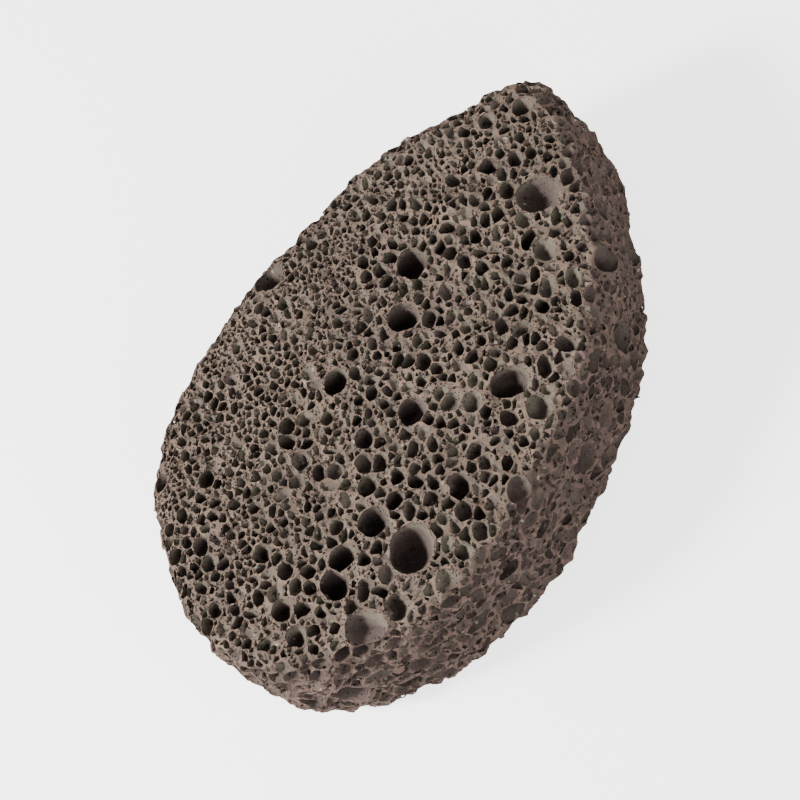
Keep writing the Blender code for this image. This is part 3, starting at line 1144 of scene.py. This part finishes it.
def bumped(tree, place, wide_height, small_height):
    """The normal of a surface roughened by grain and by the fine pores."""
    rough = product(tree, grain(tree, place, *ROUGH_GRAIN), ROUGH_HEIGHT)
    small = product(tree, small_height, SMALL_PORE_HEIGHT)
    holes = math_node(tree, "ADD", wide_height, small)
    bump = add_node(tree, "Bump", Strength=1.0, Distance=BUMP_DEPTH * MM)
    join(tree, math_node(tree, "ADD", rough, holes), bump, "Height")
    return bump.outputs["Normal"]


def stone_material():
    material = bpy.data.materials.new("pumice")
    material.use_nodes = True
    tree = material.node_tree
    shader = tree.nodes["Principled BSDF"]
    shader.inputs["Specular IOR Level"].default_value = GLOSS
    place = add_node(tree, "TexCoord").outputs["Object"]
    depth, rim, cell = (attribute(tree, name) for name in ("depth", "rim", "cell"))

    mottle = spread_grain(tree, place, MOTTLE)
    shade = product(tree, spread_grain(tree, place, PATCHES), mottle)
    mottled = shaded(tree, bare_colour(tree, place, depth, rim, cell), shade)

    pores = fine_pore_group()
    crowding = pore_crowding(tree, place, depth, rim)
    wide_mask, wide_height = fine_pores(tree, pores, place, *WIDE_PORES, crowding)
    small_mask, small_height = fine_pores(tree, pores, place, *SMALL_PORES, crowding)
    mask = math_node(tree, "MAXIMUM", wide_mask, small_mask)
    # fine pores get painted shade: a near-black spot where each hole too small to model lies
    pore_shaded = blend_colours(tree, product(tree, mask, PORE_SHADE_STRENGTH), mottled, PORE_SHADE)

    join(tree, speckled(tree, place, pore_shaded), shader, "Base Color")
    join(tree, spread(tree, mottle, *MOTTLE_SHADE, *ROUGHNESS), shader, "Roughness")
    join(tree, bumped(tree, place, wide_height, small_height), shader, "Normal")
    return material


# The camera looks down on the stone, tilted off the upright, and rolled about its own sight.
VIEW_TILT = math.radians(27.94)
VIEW_TURN = math.radians(-16.49)
VIEW_ROLL = math.radians(-47.97)
VIEW_MIDDLE = Vector((0.03, -0.2, THICKNESS / 2))
MIDDLE_PIXEL = (414.4, 392.3)  # where VIEW_MIDDLE falls
VIEW_SCALE = 6.72  # pixels to a millimetre
PICTURE = 800  # pixels across
LENS = 135.0
SENSOR = 36.0
CLIP = (0.01, 20)  # metres

# Soft boxes: the way to them as shares of the view's right, up and sight, the distance and size
# in metres, the watts and the colour.
LIGHTS = {
    "key": ((-1.0, -0.2, 0.5), 0.48, 0.125, 5.2, (1.0, 0.975, 0.94)),
    "fill": ((0.55, -0.3, 0.95), 1.2, 0.9, 10.5, (1.0, 0.98, 0.96)),
}
ROOM_COLOUR = (1, 0.99, 0.98, 1)
ROOM_STRENGTH = 0.32
FLOOR_WIDTH = 6  # metres
FLOOR_COLOUR = (0.9, 0.9, 0.9, 1)
FLOOR_ROUGHNESS = 0.6
FLOOR_GLOW = 2.6  # only the camera sees it


def view_axes():
    """The picture's right and up, and the way from the stone to the camera."""
    flat = math.sin(VIEW_TILT)
    sight = Vector((flat * math.cos(VIEW_TURN), flat * math.sin(VIEW_TURN), math.cos(VIEW_TILT)))
    right = Vector((0, 0, 1)).cross(sight).normalized()
    up = sight.cross(right)
    c, s = math.cos(VIEW_ROLL), math.sin(VIEW_ROLL)
    return c * right + s * up, -s * right + c * up, sight


def make_camera():
    right, up, sight = view_axes()
    data = bpy.data.cameras.new("camera")
    data.lens = LENS
    data.sensor_width = SENSOR
    data.clip_start, data.clip_end = CLIP
    camera = add_object("camera", data)
    across = (PICTURE / 2 - MIDDLE_PIXEL[0]) / VIEW_SCALE
    down = (PICTURE / 2 - MIDDLE_PIXEL[1]) / VIEW_SCALE
    away = PICTURE * LENS / SENSOR / VIEW_SCALE
    camera.location = (VIEW_MIDDLE + right * across - up * down + sight * away) * MM
    camera.rotation_mode = "QUATERNION"
    camera.rotation_quaternion = Matrix((right, up, sight)).transposed().to_quaternion()
    bpy.context.scene.camera = camera


def soft_box(name, toward, distance, size, energy, colour):
    """A round light that faces the top of the stone."""
    data = bpy.data.lights.new(name, "AREA")
    data.shape = "DISK"
    data.size = size
    data.energy = energy
    data.color = colour
    light = add_object(name, data)
    direction = toward.normalized()
    light.location = direction * distance + Vector((0, 0, THICKNESS * MM))
    light.rotation_mode = "QUATERNION"
    light.rotation_quaternion = direction.to_track_quat("Z", "Y")


def light_scene():
    right, up, sight = view_axes()
    for name, (shares, distance, size, energy, colour) in LIGHTS.items():
        toward = right * shares[0] + up * shares[1] + sight * shares[2]
        soft_box(name, toward, distance, size, energy, colour)
    world = bpy.data.worlds.new("studio")
    bpy.context.scene.world = world
    world.use_nodes = True
    background = world.node_tree.nodes["Background"]
    background.inputs["Color"].default_value = ROOM_COLOUR
    background.inputs["Strength"].default_value = ROOM_STRENGTH


def lay_floor():
    bpy.ops.mesh.primitive_plane_add(size=FLOOR_WIDTH, location=(0, 0, 0))
    floor = bpy.context.object
    floor.name = "floor"
    material = bpy.data.materials.new("floor")
    material.use_nodes = True
    tree = material.node_tree
    shader = tree.nodes["Principled BSDF"]
    shader.inputs["Base Color"].default_value = FLOOR_COLOUR
    shader.inputs["Roughness"].default_value = FLOOR_ROUGHNESS
    shader.inputs["Emission Color"].default_value = (1, 1, 1, 1)
    seen = add_node(tree, "LightPath").outputs["Is Camera Ray"]
    join(tree, product(tree, seen, FLOOR_GLOW), shader, "Emission Strength")
    floor.data.materials.append(material)


stone, skin, foam = build_stone()
mark_surface(stone, skin, foam)
stone.data.materials.clear()
stone.data.materials.append(stone_material())
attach(stone, "root")
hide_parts("pumice_stone")
make_camera()
light_scene()
lay_floor()
